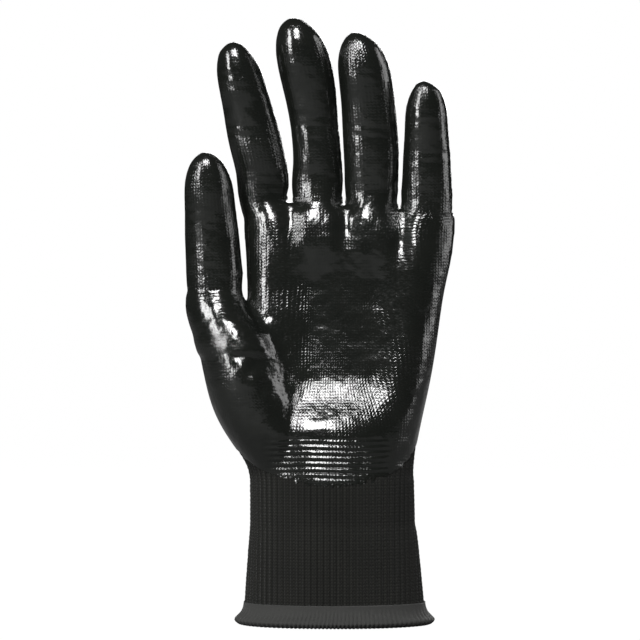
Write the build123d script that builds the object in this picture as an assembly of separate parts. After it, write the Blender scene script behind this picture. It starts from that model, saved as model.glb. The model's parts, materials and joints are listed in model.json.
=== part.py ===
"""A dipped work glove for the left hand, in the shape it has when a hand fills it.

A knit liner with five finger stalls runs down into a ribbed elastic cuff, whose edge is bound by
overlock thread. A nitrile coating is bonded over the palm, the front and sides of the fingers and the
whole of each fingertip. The wall is divided where the glove bends: each stretch that keeps its shape
is a piece of its own, and a soft fold fills the wedge between two such pieces.

Frame: +Z runs from the wrist opening to the fingertips, -Y is the way the palm faces, and the thumb is
on the -X side. The origin is the centre of the wrist opening, in the plane that the hem stands on.
All sizes are in millimetres and all angles in degrees.
"""

import os
from functools import cache
from math import atan, cos, degrees, pi, radians, sin, tan

from build123d import *

# Wall layers
LINER = 1.0  # thickness of the knit
COATING = 0.5  # thickness of the nitrile
BOND = 0.05  # clearance that keeps the two layers apart as solids
SKIN = COATING + BOND  # how far the coated outside stands off the knit

# Cuff and wrist
CUFF_MOUTH = (37.4, 25.0)  # half width and half depth at the hem
WRIST = (33.3, 21.6)  # the same at the wrist
WRIST_SHIFT = 0.7  # how far the wrist lies towards the little finger, and the mouth twice as far
WRIST_HEIGHT = 50.0  # height at which the glove bends at the wrist
CUFF_WALL = 1.8  # thickness of the ribbed cuff
HEM_HEIGHT = 4.4
HEM_FLARE = 3.4  # how far the hem stands out of the cuff
HEM_BEAD = 2.0  # how far its rounded outside reaches
HEM_LAP = 0.8  # thickness of the thread inside and under the edge of the cuff
SEAT = 0.05  # clearance round the edge of the cuff and round an elastic yarn
ELASTIC = 0.6  # thickness of an elastic yarn
ELASTIC_DEPTH = 0.25  # how deep a yarn lies under the inside of the cuff
ELASTIC_ROWS = 7
ELASTIC_PITCH = 4.9
ELASTIC_START = 9.0

# Palm
WEB_HEIGHT = 176.0  # the web between the first and the second finger
WEB_FALL = 0.15  # how much lower a web is for each millimetre towards the little finger
WEB_X = -15.7  # where the web between the first and the second finger is
FINGER_GAP = 0.7  # between neighbouring stalls at their webs, over the coating
PALM_MARGIN = 0.4  # how far the palm stands out past the outer stalls
PALM_DEPTH = 14.0  # half depth of the palm at the thumb's web
STALL_ROOT = 12.0  # how far a stall's tube reaches down into the palm
ROOT_TAPER = 0.85  # how much narrower the tube is at its lower end
WEB_SADDLE = 1.5  # how far the palm ends below the line of the webs

# How far each kind of joint bends: back, and towards the palm
WRIST_LIMITS = (-30, 30)
ROOT_LIMITS = (-10, 60)
MIDDLE_LIMITS = (0, 80)
TIP_LIMITS = (-5, 50)
THUMB_ROOT_LIMITS = (-15, 45)
THUMB_TIP_LIMITS = (-10, 60)
THUMB_TURN = 6.0  # how far the thumb's hinges are turned round it, towards the palm
FOLD_GAP = 0.45  # half length of a fold at its hinge
HINGE_LEAN = 0.8  # a hinge is tilted by this share of its finger's own lean

# Shape of the fingers
DEPTH_SHARE = 0.8  # a stall's depth over its width
CURL = 9.0  # how far a fingertip leans towards the palm
THUMB_WEB = 137.0  # height of the thumb's web
THUMB_SIZE = 12.0  # half width of the thumb at its web, over the coating
THUMB_FORWARD = 4.0  # how far the thumb lies in front of the palm's middle plane
THUMB_GAP = 0.9  # between the thumb and the palm above the web

# Each finger, measured over the coating: half widths at the web, half way up and under the dome,
# length, how far the tip leans towards +X, bow of the lean, height of the dome, heights of the hinges
INDEX = ((10.3, 11.4, 10.2), 64.0, -14.2, 1.1, 19.0, (8.5, 27.0, 47.5))
MIDDLE = ((10.4, 10.1, 11.5), 74.0, -10.3, 2.0, 19.0, (7.0, 31.0, 54.0))
RING = ((10.9, 11.7, 11.2), 71.2, -6.1, 2.6, 18.0, (7.0, 30.0, 52.5))
LITTLE = ((11.2, 10.2, 9.1), 54.6, -0.8, 1.5, 17.0, (7.0, 23.0, 39.5))
THUMB_NARROWS = (0.0, 0.6, 1.6)  # how much less than THUMB_SIZE its half widths are
THUMB_FORM = (57.5, -3.6, 1.0, 18.5, (8.0, 31.0))

# Sections of the palm from its heel to the webs: share of the way up, how far the left and the right
# side lie inside the width at the webs, half depth beyond that at the thumb's web, squareness
PALM_SECTIONS = (
    (0.225, -1.0, 15.2, 5.4, 2.25),
    (0.385, -1.4, 10.9, 3.2, 2.4),
    (0.546, 1.0, 7.5, 1.3, 2.4),
    (0.699, 2.4, 4.7, 0.0, 2.4),
    (0.827, 1.7, 2.1, -1.0, 2.4),
    (0.936, 0.6, 0.6, -2.8, 2.4),
)
PALM_TOP = (1.0, 0.0, 0.0, -5.0, 2.4)

# Sections of the ball of the thumb from inside the heel up: share of the way to the thumb's web, how
# far its middle lies towards the palm's middle and back from the thumb's, half width, half depth
BALL_SECTIONS = (
    (0.184, 25.5, 1.0, 12.6, 14.0),
    (0.345, 21.1, -0.5, 17.2, 16.2),
    (0.575, 14.9, -1.8, 18.6, 16.4),
    (0.805, 7.9, -1.6, 16.4, 14.0),
)
BALL_TOP = 6.0  # how far below the thumb's web the ball takes on the thumb's shape

# Edge of the coating
BACK_EDGE = 0.42  # it wraps round to this share of a stall's half depth
TIP_WRAP = 14.0  # length of the fingertip that is coated all round
HEEL_EDGE = 57.0  # its lower edge, in the middle of the palm's heel
HEEL_RISE = 0.9  # how much higher the lower edge is for each millimetre further back

OVAL_POINTS = 12  # points on each outline of the palm and cuff
FAR = 300.0  # larger than the glove


class Stall:
    """One finger's tube: a bowed centre line, three half widths and a domed end."""

    def __init__(self, name, halves, length, lean, bow, dome, hinges):
        self.name = name
        self.halves = [half - SKIN for half in halves]  # at the web, half way up and under the dome
        self.length = length - SKIN  # from the web to the tip
        self.lean = lean  # how far the tip lies towards +X
        self.bow = bow  # 1 leans evenly, and more leans mostly near the tip
        self.dome = dome  # height of the rounded end
        self.hinges = hinges  # (name of the fold, height above the web, limits), from the web up
        self.x = self.y = self.z = self.turn = 0.0

    def centre(self, z):
        share = max(0.0, (z - self.z) / self.length)
        return self.x + self.lean * share**self.bow, self.y - CURL * share**2

    def shoulder(self):
        return self.z + self.length - self.dome

    def half_width(self, z):
        web, middle, under_dome = self.halves
        waist = (self.z + self.shoulder()) / 2
        if z < waist:
            return ease(z, self.z, waist, web, middle)
        return ease(z, waist, self.shoulder(), middle, under_dome)

    def half_depth(self, z):
        return self.half_width(z) * DEPTH_SHARE

    @cache
    def solid(self, grow=0.0):
        """The filled tube, its outside moved out by grow."""
        span = self.shoulder() - self.z
        wide, deep = self.half_width(self.z) * ROOT_TAPER, self.half_depth(self.z) * ROOT_TAPER
        sections = [Pos(self.x, self.y, self.z - STALL_ROOT) * Ellipse(wide + grow, deep + grow)]
        for z in [self.z + span * n / 6 for n in range(6)]:
            x, y = self.centre(z)
            sections.append(Pos(x, y, z) * Ellipse(self.half_width(z) + grow, self.half_depth(z) + grow))
        wide, deep = self.half_width(self.shoulder()) + grow, self.half_depth(self.shoulder()) + grow
        for angle in (0, 25, 45, 60, 72, 82):
            rise, share = sin(radians(angle)), cos(radians(angle))
            x, y = self.centre(self.shoulder() + self.dome * rise)
            height = self.shoulder() + (self.dome + grow) * rise
            sections.append(Pos(x, y, height) * Ellipse(wide * share, deep * share))
        x, y = self.centre(self.z + self.length)
        return loft(sections + [Vertex(x, y, self.z + self.length + grow)])

    def shell(self, inner, outer):
        return self.solid(outer) - self.solid(inner)

    def coated_space(self):
        """All space in front of the coating's back edge, and all round the fingertip."""
        top = self.z + self.length - TIP_WRAP
        heights = [self.z - 2 * STALL_ROOT] + [self.z + (top - self.z) * n / 8 for n in range(9)]
        edge = [(self.centre(z)[1] - self.y + BACK_EDGE * self.half_depth(z), z) for z in heights]
        outline = [(-FAR, heights[0])] + edge + [(FAR, top), (FAR, FAR), (-FAR, FAR)]
        return Pos(self.x, self.y, 0) * Rot(0, 0, self.turn) * drawn_across(outline)

    def hinge_place(self, number):
        """The middle of one hinge, with X along the hinge and Z along the finger."""
        z = self.z + self.hinges[number][1]
        x, y = self.centre(z)
        slope = (self.centre(z + 1)[0] - self.centre(z - 1)[0]) / 2
        return Pos(x, y, z) * Rot(0, 0, self.turn) * Rot(0, HINGE_LEAN * degrees(atan(slope)), 0)

    def fold_space(self, number):
        """The space of one fold, which is as wide as its two sides need to swing."""
        return self.hinge_place(number) * drawn_across(fold_outline(self.hinges[number][2]))

    def space_above(self, number):
        """All space beyond the middle of one fold."""
        return self.hinge_place(number) * Pos(0, 0, FAR / 2) * Box(2 * FAR, 2 * FAR, FAR)


def drawn_across(outline):
    """A closed outline of (y, z) points, drawn out along X."""
    return extrude(Plane.YZ * make_face(Polyline(*outline, close=True)), FAR, both=True)


def ease(value, start, end, low, high):
    share = min(1.0, max(0.0, (value - start) / (end - start)))
    return low + (high - low) * (1 - cos(pi * share)) / 2


def fold_outline(limits):
    """Outline in (y, z) of a wedge each side of a hinge, for bending back and for bending forward."""
    back, front = (FOLD_GAP + FAR * tan(radians(abs(limit) / 2)) for limit in limits)
    return [(0, FOLD_GAP), (-FAR, front), (-FAR, -front), (0, -FOLD_GAP), (FAR, -back), (FAR, back)]


def slab(low, high):
    """All space between two heights."""
    return Pos(0, 0, (low + high) / 2) * Box(2 * FAR, 2 * FAR, high - low)


def make_finger(name, halves, length, lean, bow, dome, heights):
    """One of the four fingers, not yet in its place."""
    joints = ("root", ROOT_LIMITS), ("middle", MIDDLE_LIMITS), ("tip", TIP_LIMITS)
    hinges = [(joint, height, limits) for (joint, limits), height in zip(joints, heights)]
    return Stall(name, halves, length, lean, bow, dome, hinges)


def place_fingers():
    """The four fingers side by side across the palm."""
    index = make_finger("index", *INDEX)
    middle = make_finger("middle", *MIDDLE)
    ring = make_finger("ring", *RING)
    little = make_finger("little", *LITTLE)
    index.x = WEB_X - FINGER_GAP / 2 - index.halves[0] - SKIN
    index.z = WEB_HEIGHT
    edge = WEB_X
    for finger in (middle, ring, little):
        finger.x = edge + FINGER_GAP / 2 + SKIN + finger.halves[0]
        finger.z = WEB_HEIGHT - WEB_FALL * (edge - WEB_X)
        edge = finger.x + finger.halves[0] + SKIN + FINGER_GAP / 2
    return [index, middle, ring, little]


FINGERS = place_fingers()
PALM_LEFT = FINGERS[0].x - FINGERS[0].halves[0] - PALM_MARGIN
PALM_RIGHT = FINGERS[3].x + FINGERS[3].halves[0] + PALM_MARGIN
PALM_WAIST = PALM_LEFT + PALM_SECTIONS[3][1]  # left side of the palm beside the thumb's web


def place_thumb():
    """The thumb beside the palm, turned so that it closes in front of it."""
    *form, heights = THUMB_FORM
    limits = THUMB_ROOT_LIMITS, THUMB_TIP_LIMITS
    halves = [THUMB_SIZE - less for less in THUMB_NARROWS]
    thumb = Stall("thumb", halves, *form, list(zip(("root", "tip"), heights, limits)))
    thumb.x = PALM_WAIST - SKIN - THUMB_GAP - THUMB_SIZE
    thumb.y = -THUMB_FORWARD
    thumb.z = THUMB_WEB
    thumb.turn = THUMB_TURN
    return thumb


THUMB = place_thumb()
STALLS = FINGERS + [THUMB]


def oval(x, y, z, across, deep, power=2.0, tilt=0.0):
    """A closed smooth outline, an ellipse at power 2 and squarer above it."""
    points = []
    for n in range(OVAL_POINTS):
        c, s = cos(2 * pi * n / OVAL_POINTS), sin(2 * pi * n / OVAL_POINTS)
        radius = (abs(c) ** power + abs(s) ** power) ** (-1 / power)
        east = x + across * radius * c
        points.append(Vector(east, y + deep * radius * s, z - tilt * (east - WEB_X)))
    return Face(Wire(Edge.make_spline(points, periodic=True)))


def cuff_rows():
    """The cuff and wrist from the hem up: height, left, right, half depth, squareness, tilt."""
    rows = []
    for height, share in ((0, 1.0), (0.2, 0.87), (0.4, 0.67), (0.6, 0.47), (0.8, 0.22), (0.96, 0.03)):
        wide, deep = (w + (m - w) * share for w, m in zip(WRIST, CUFF_MOUTH))
        shift = WRIST_SHIFT * (1 + share)
        rows.append((WRIST_HEIGHT * height, shift - wide, shift + wide, deep, 2.0, 0.0))
    left, right = WRIST_SHIFT - WRIST[0], WRIST_SHIFT + WRIST[0]
    return rows + [(WRIST_HEIGHT + 9.0, left - 0.4, right - 0.4, WRIST[1] - 0.6, 2.1, 0.0)]


def palm_rows():
    """The palm from the heel to the webs, in the same terms."""
    top = WEB_HEIGHT - WEB_SADDLE
    rows = []
    for share, left, right, deep, square in PALM_SECTIONS + (PALM_TOP,):
        z = WRIST_HEIGHT + (top - WRIST_HEIGHT) * share
        tilt = WEB_FALL * max(0.0, (z - THUMB_WEB) / (top - THUMB_WEB))
        rows.append((z, PALM_LEFT + left, PALM_RIGHT - right, PALM_DEPTH + deep, square, tilt))
    return rows


@cache
def trunk(grow=0.0):
    """The filled cuff and palm, without the thumb and the stalls."""
    rows = cuff_rows() + palm_rows()
    sections = []
    for number, (z, left, right, deep, power, tilt) in enumerate(rows):
        lift = grow if number == len(rows) - 1 else 0.0
        centre, across = (left + right) / 2, (right - left) / 2
        sections.append(oval(centre, 0, z + lift, across + grow, deep + grow, power, tilt))
    return loft(sections)


@cache
def thumb_ball(grow=0.0):
    """The filled ball of the thumb, from inside the heel of the palm up into the thumb's stall."""
    wide, deep = THUMB.halves[0], THUMB.halves[0] * DEPTH_SHARE
    rows = []
    for share, inward, back, across, depth in BALL_SECTIONS:
        z = WRIST_HEIGHT + (THUMB_WEB - WRIST_HEIGHT) * share
        rows.append((z, THUMB.x + inward, THUMB.y + back, across, depth))
    rows.append((THUMB.z - BALL_TOP, THUMB.x + 1.2, THUMB.y - 0.6, wide + 1.2, deep + 1.4))
    rows.append((THUMB.z + 1.5, THUMB.x, THUMB.y, wide - 1.4, deep - 1.4))
    sections = []
    for number, (z, x, y, across, depth) in enumerate(rows):
        lift = grow * (number == len(rows) - 1)
        sections.append(oval(x, y, z + lift, across + grow, depth + grow))
    return loft(sections)


@cache
def hand(grow=0.0):
    """The filled glove from the hem up to the fold at the root of each stall."""
    solid = trunk(grow) + thumb_ball(grow)
    for stall in STALLS:
        root = stall.solid(grow) - stall.space_above(0)
        solid = solid + (root - stall.fold_space(0))
    return solid


def wrist_fold_space():
    return Pos(0, 0, WRIST_HEIGHT) * drawn_across(fold_outline(WRIST_LIMITS))


def palm_coated_space():
    """In front of the coating's edge along the sides of the palm, and above its edge at the heel."""
    edge = BACK_EDGE * FINGERS[0].half_depth(WEB_HEIGHT)
    corner = THUMB.x + THUMB.halves[0]
    drop = (FAR + corner) * tan(radians(THUMB_TURN))
    outline = [(-FAR, edge - drop), (corner, edge), (FAR, edge), (FAR, -FAR), (-FAR, -FAR)]
    front = extrude(make_face(Polyline(*outline, close=True)), FAR)
    low = HEEL_EDGE - HEEL_RISE * (FAR - WRIST[1])
    high = HEEL_EDGE + HEEL_RISE * (FAR + WRIST[1])
    return front & drawn_across([(-FAR, low), (FAR, high), (FAR, FAR * 3), (-FAR, FAR * 3)])


def save(name, *shapes):
    solids = [solid for shape in shapes for solid in shape.solids()]
    solids = [solid for solid in solids if solid.volume > 0.5]
    export_step(solids[0] if len(solids) == 1 else Compound(children=solids), f"parts/{name}.step")


def make_hand():
    """Palm liner, palm coating, wrist fold and cuff."""
    outer = hand()
    fold = wrist_fold_space()
    wall = outer - hand(-LINER)
    save("palm_liner", (wall & slab(WRIST_HEIGHT, FAR)) - fold)
    save("wrist_fold", (trunk() - trunk(-LINER)) & fold)
    save("palm_coating", ((hand(SKIN) - hand(BOND)) & palm_coated_space()) - fold)


def cuff_oval(z, grow):
    """The cuff's outline at one height as a flat ellipse, moved out by grow."""
    rows = cuff_rows()
    low = max(row for row in rows[:-1] if row[0] <= z)
    high = rows[rows.index(low) + 1]
    share = (z - low[0]) / (high[0] - low[0])
    left, right, deep = (low[n] + (high[n] - low[n]) * share for n in (1, 2, 3))
    return Pos((left + right) / 2, 0, z) * Ellipse((right - left) / 2 + grow, deep + grow)


def band(z, height, inner, outer):
    """A ring of constant section that follows the cuff's outline at one height."""
    return extrude(cuff_oval(z, outer), height) - extrude(cuff_oval(z, inner), height)


def make_cuff():
    """The ribbed cuff, with the elastic yarns laid in grooves on its inside."""
    cuff = (trunk() - trunk(-CUFF_WALL)) & slab(HEM_LAP + SEAT, WRIST_HEIGHT)
    inside = -CUFF_WALL + ELASTIC_DEPTH
    yarns = []
    for row in range(ELASTIC_ROWS):
        z = ELASTIC_START + row * ELASTIC_PITCH
        yarns.append(band(z, ELASTIC, inside, inside + ELASTIC))
        cuff = cuff - band(z - SEAT, ELASTIC + 2 * SEAT, -2 * CUFF_WALL, inside + ELASTIC + SEAT)
    save("cuff_liner", cuff - wrist_fold_space())
    save("cuff_elastic", *yarns)


def make_hem():
    """The overlock thread: a bead outside the edge of the cuff, and a lap under it and inside it."""
    half, middle = HEM_HEIGHT / 2, HEM_FLARE - HEM_BEAD
    ovals = []
    for angle in (-90, -60, -30, 0, 30, 60, 90):
        z = half + half * sin(radians(angle))
        across, deep = (size + middle + HEM_BEAD * cos(radians(angle)) for size in CUFF_MOUTH)
        ovals.append(Pos(2 * WRIST_SHIFT, 0, z) * Ellipse(across, deep))
    bead = loft(ovals) - extrude(cuff_oval(0, -CUFF_WALL - HEM_LAP), HEM_HEIGHT)
    seat = trunk(SEAT) - trunk(-CUFF_WALL - SEAT)
    save("hem_thread", bead - (seat & slab(HEM_LAP, 2 * HEM_HEIGHT)))


def make_stall(stall):
    """The stiff pieces of one stall and the folds between them."""
    liner = stall.shell(-LINER, 0)
    coating = stall.shell(BOND, SKIN) & stall.coated_space()
    count = len(stall.hinges)
    names = ["lower", "upper", "tip"] if count == 3 else ["lower", "tip"]
    folds = [stall.fold_space(number) for number in range(count)]
    for number in range(count):
        fold_name = stall.hinges[number][0]
        save(f"{stall.name}_{fold_name}_fold", liner & folds[number], coating & folds[number])
        space = stall.space_above(number) - folds[number]
        if number + 1 < count:
            space = space - stall.space_above(number + 1) - folds[number + 1]
        save(f"{stall.name}_{names[number]}_liner", liner & space)
        save(f"{stall.name}_{names[number]}_coating", coating & space)


def main():
    os.makedirs("parts", exist_ok=True)
    make_cuff()
    make_hem()
    make_hand()
    for stall in STALLS:
        make_stall(stall)


main()
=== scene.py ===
"""The looks of a dipped left-hand work glove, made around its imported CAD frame.

One smooth surface is built from the frame's own sections, then cut into pieces that each cross at most
one joint. Every piece of knit is a closed shell, and the nitrile lies on it as a film of its own.
"""

import json
from math import cos, pi, radians, sin, sqrt

import bmesh
import bpy
import numpy as np
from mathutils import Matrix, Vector
from mathutils.bvhtree import BVHTree


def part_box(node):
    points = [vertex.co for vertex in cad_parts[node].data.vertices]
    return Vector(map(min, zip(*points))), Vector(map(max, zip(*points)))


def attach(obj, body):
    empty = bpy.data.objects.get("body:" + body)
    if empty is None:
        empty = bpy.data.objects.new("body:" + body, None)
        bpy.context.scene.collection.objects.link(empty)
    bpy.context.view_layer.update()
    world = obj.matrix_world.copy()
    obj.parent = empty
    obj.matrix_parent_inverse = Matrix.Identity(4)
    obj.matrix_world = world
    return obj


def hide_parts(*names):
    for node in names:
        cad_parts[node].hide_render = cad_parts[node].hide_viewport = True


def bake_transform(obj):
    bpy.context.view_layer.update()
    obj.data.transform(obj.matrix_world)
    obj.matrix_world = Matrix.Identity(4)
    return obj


MM = 0.001
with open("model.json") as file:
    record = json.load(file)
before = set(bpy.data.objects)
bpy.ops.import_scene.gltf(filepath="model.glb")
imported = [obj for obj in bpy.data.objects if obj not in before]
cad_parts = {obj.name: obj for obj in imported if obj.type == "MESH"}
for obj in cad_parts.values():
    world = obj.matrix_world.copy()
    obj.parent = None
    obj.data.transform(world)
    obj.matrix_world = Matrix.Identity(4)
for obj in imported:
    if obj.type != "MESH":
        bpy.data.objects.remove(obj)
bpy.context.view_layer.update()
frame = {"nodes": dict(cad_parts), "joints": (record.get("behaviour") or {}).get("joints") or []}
NODES = frame["nodes"]
JOINTS = {joint["name"]: joint for joint in frame["joints"]}

FINGERS = ("index", "middle", "ring", "little")
SEGMENTS = {name: ("lower", "upper", "tip") for name in FINGERS}
SEGMENTS["thumb"] = ("lower", "tip")
FOLDS = {name: ("root", "middle", "tip") for name in FINGERS}
FOLDS["thumb"] = ("root", "tip")

ROOT_RISE = {"index": 8.5 * MM, "thumb": 8.0 * MM}  # a root hinge's height above its web
OTHER_RISE = 7 * MM
# How far the fingers are moved aside while the surface is made, so that neighbours aren't fused
APART = {"index": -0.9 * MM, "middle": -0.45 * MM, "ring": 0.45 * MM, "little": 0.9 * MM}
KNIT = 1.0 * MM  # thickness of the knit
CUFF_EXTRA = 0.7 * MM  # how much thicker the cuff is, with its elastic
FILM = 0.5 * MM  # thickness of the nitrile
FILM_EDGE = 0.16 * MM  # its thickness at its edge
FILM_SLOPE = 1.2 * MM  # how far inside the edge it is at its full thickness
FILM_BOND = 0.04 * MM  # the gap between the nitrile and the knit
SKIN = 0.55 * MM  # how far the frame's coated outside stands off the knit
SPIKE = 0.25 * MM  # a measured size this far from its neighbours' is a slip
ROW = 1.5 * MM  # height between a stall's measured rows
PAST = 0.01 * MM  # how far past a face a ray goes on
VOXEL = 0.9 * MM  # size of the joined surface's faces
ROUND = 48  # points round a stall's section; the trunk has twice as many
TRUNK_X = 1.0 * MM  # where the trunk's axis stands


# ---------------------------------------------------------------- sections read from the frame


def tree_of(names):
    """A search tree of some CAD nodes' faces."""
    points, faces = [], []
    for name in names:
        mesh = NODES[name].data
        start = len(points)
        points += [v.co.copy() for v in mesh.vertices]
        faces += [[start + i for i in p.vertices] for p in mesh.polygons]
    return BVHTree.FromPolygons(points, faces)


def hits(tree, start, direction, reach):
    """Distances from start at which a ray meets the faces, nearest first."""
    found, travelled = [], 0.0
    point, direction = Vector(start), Vector(direction).normalized()
    while travelled < reach:
        place, _, _, distance = tree.ray_cast(point, direction, reach - travelled)
        if place is None:
            break
        travelled += distance
        if not found or travelled - found[-1] > PAST:
            found.append(travelled)
        point = place + direction * PAST
        travelled += PAST
    return found


def stall_nodes(name):
    nodes = [f"{name}_{segment}_{layer}" for segment in SEGMENTS[name] for layer in ("liner", "coating")]
    return nodes + [f"{name}_{fold}_fold" for fold in FOLDS[name]]


class Stall:
    """One finger or the thumb: its centre line and its knit sections, measured on the frame."""

    def __init__(self, name):
        self.name = name
        self.places = [Vector(JOINTS[f"{name}_{fold}_bend"]["pos_m"]) for fold in FOLDS[name]]
        tip = NODES[f"{name}_tip_liner"].data
        self.apex = max((v.co for v in tip.vertices), key=lambda co: co.z).copy()
        self.web = self.places[0].z - ROOT_RISE.get(name, OTHER_RISE)
        rows = self.measured()
        for column in range(1, 5):
            clean = despiked(rows[:, column])
            share = np.clip((self.apex.z - 14 * MM - rows[:, 0]) / (6 * MM), 0, 1)
            rows[:, column] = clean + (eased(clean, 6) - clean) * share
        self.rows = rows[:-1]

    def measured(self):
        """Rows of height, centre and half sizes of the knit, from rays to the frame's outside."""
        tree = tree_of(stall_nodes(self.name))
        guide = np.array([tuple(place) for place in (*self.places, self.apex)])
        rows = []
        for z in np.arange(self.places[0].z - 2 * ROW, self.apex.z - ROW, ROW):
            x, y = (np.interp(z, guide[:, 2], guide[:, axis]) for axis in (0, 1))
            wall = []
            for direction in ((1, 0, 0), (-1, 0, 0), (0, 1, 0), (0, -1, 0)):
                found = hits(tree, (x, y, z), direction, 20 * MM)
                wall.append(found[-1] if found else np.nan)
            east, west, back, front = wall
            wide, deep = (east + west) / 2 - SKIN, (back + front - SKIN) / 2
            rows.append((z, x + (east - west) / 2, y + back - deep, wide, deep))
        rows = np.array(rows)
        return rows[~np.isnan(rows).any(axis=1)]

    def columns(self, z, *numbers):
        z = np.clip(z, self.rows[0, 0], self.rows[-1, 0])
        return tuple(np.interp(z, self.rows[:, 0], self.rows[:, number]) for number in numbers)

    def centre(self, z):
        return self.columns(z, 1, 2)

    def size(self, z):
        return self.columns(z, 3, 4)

    def foot(self):
        """The place on the axis at the height of the web."""
        return Vector((*self.centre(self.web), self.web))

    def inner_side(self):
        """X of the side that faces the little finger, at the lowest row."""
        return self.rows[0, 1] + self.rows[0, 3]

    def apart(self, z):
        """How far this stall is moved aside at a height while the surface is made."""
        return APART.get(self.name, 0.0) * np.clip((z - self.web - 2 * MM) / (8 * MM), 0, 1)

    def rings(self):
        """Rings of points from inside the palm up to the apex."""
        first = self.rows[0]
        made = []
        below = ((18, 0.7, 0), (12, 0.85, 0), (6, 0.96, 0))
        if self.name == "thumb":
            below = ((18, 0.7, 4), (12, 0.85, 2), (6, 0.97, 0))
        for drop, share, inward in below:
            x, z = first[1] + inward * MM, first[0] - drop * MM
            made.append(ellipse(x, first[2], z, first[3] * share, first[4] * share))
        for z, x, y, wide, deep in self.rows:
            made.append(ellipse(x + self.apart(z), y, z, wide, deep))
        z, x, y, wide, deep = self.rows[-1]
        x += self.apart(z)
        for share in (0.6, 0.3, 0.1):
            up, near = 1 - share, sqrt(share)
            x_up, y_up = x + (self.apex.x - x) * up, y + (self.apex.y - y) * up
            made.append(ellipse(x_up, y_up, z + (self.apex.z - z) * up, wide * near, deep * near))
        return made


def despiked(values):
    """The values with spikes replaced by the median of five."""
    padded = np.concatenate((values[:2], values, values[-2:]))
    windows = np.stack([padded[n : n + len(values)] for n in range(5)])
    middle = np.median(windows, axis=0)
    return np.where(np.abs(values - middle) < SPIKE, values, middle)


def eased(values, rounds):
    """Values smoothed along their length, with both ends held."""
    values = values.copy()
    for _ in range(rounds):
        values[1:-1] = (values[:-2] + 2 * values[1:-1] + values[2:]) / 4
    return values


def ellipse(x, y, z, wide, deep):
    turns = [2 * pi * n / ROUND for n in range(ROUND)]
    return [(x + wide * cos(t), y + deep * sin(t), z) for t in turns]


def trunk_rings():
    """Rings round the cuff and the palm, from the hem's foot to just under the webs."""
    tree = tree_of(["cuff_liner", "palm_liner"])
    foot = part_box("cuff_liner")[0].z + 0.5 * MM
    fold = JOINTS["wrist_bend"]["pos_m"][2]
    web = min(stall.web for stall in STALLS if stall.name != "thumb")
    levels = [z for z in np.arange(foot, web - 5 * MM, 2 * MM) if abs(z - fold) > 7.5 * MM]
    turns = [pi * n / ROUND for n in range(ROUND * 2)]
    table = eased(np.array([outside_radii(tree, z, turns) for z in levels]), 3)
    rings = []
    for radii, z in zip(table, levels):
        rings.append([(TRUNK_X + r * cos(t), r * sin(t), z) for r, t in zip(radii, turns)])
    return rings


def outside_radii(tree, z, turns):
    """Distance from the trunk's axis to the liner's outside, filled in where a ray misses it."""
    radii = []
    for t in turns:
        found = hits(tree, (TRUNK_X, 0, z), (cos(t), sin(t), 0), 90 * MM)
        radii.append(found[1] if len(found) > 1 else np.nan)
    radii = np.array(radii)
    missed = np.isnan(radii)
    if missed.any():
        order = np.arange(len(turns))
        radii[missed] = np.interp(order[missed], order[~missed], radii[~missed], period=len(turns))
    return radii


def web_rings(last):
    """The palm's end, two rings that rise from its last one to the slanting line of the webs."""
    index, little = BY_NAME["index"], BY_NAME["little"]
    low_x, high_x = min(p[0] for p in last), max(p[0] for p in last)
    made = []
    for rise, depth in ((0.5, 0.86), (0.85, 0.72)):
        ring = []
        for x, y, z in last:
            share = (x - low_x) / (high_x - low_x)
            top = index.web + (little.web - index.web) * share + 0.8 * MM
            ring.append((x, y * depth, z + (top - z) * rise))
        made.append(ring)
    return made


def tube(name, rings, apex=None):
    """A closed mesh through rings of points."""
    count = len(rings[0])
    points = [p for ring in rings for p in ring]
    faces = []
    for row in range(len(rings) - 1):
        for n in range(count):
            a, b = row * count + n, row * count + (n + 1) % count
            faces.append((a, b, b + count, a + count))
    faces.append(tuple(reversed(range(count))))
    last = (len(rings) - 1) * count
    if apex is None:
        faces.append(tuple(range(last, last + count)))
    else:
        points.append(tuple(apex))
        faces += [(last + n, last + (n + 1) % count, len(points) - 1) for n in range(count)]
    mesh = bpy.data.meshes.new(name)
    mesh.from_pydata(points, [], faces)
    return mesh


# The ball of the thumb in millimetres: height above the thumb's web, place from the thumb's axis
# across and back, half width and half depth
BALL = (
    (-25, 10.9, -1.7, 17.4, 15.0),
    (-21, 9.3, -1.7, 17.0, 14.6),
    (-17, 7.9, -1.6, 16.4, 14.0),
    (-13, 5.3, -1.3, 15.2, 12.8),
    (-9, 2.6, -0.9, 13.6, 11.5),
    (-6, 1.2, -0.6, 12.6, 10.6),
    (-2, 0.2, -0.2, 11.5, 9.4),
    (1.5, 0.0, 0.0, 10.4, 8.2),
)


def ball_rings():
    """The top of the ball of the thumb, where it runs up into the thumb."""
    thumb = BY_NAME["thumb"]
    x, y = thumb.centre(thumb.web)
    made = []
    for rise, inward, back, wide, deep in BALL:
        place = x + inward * MM, y + back * MM, thumb.web + rise * MM
        made.append(ellipse(*place, wide * MM, deep * MM))
    return made


STALLS = [Stall(name) for name in (*FINGERS, "thumb")]
BY_NAME = {stall.name: stall for stall in STALLS}
TRUNK_RINGS = trunk_rings()
TRUNK_RINGS += web_rings(TRUNK_RINGS[-1])


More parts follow.
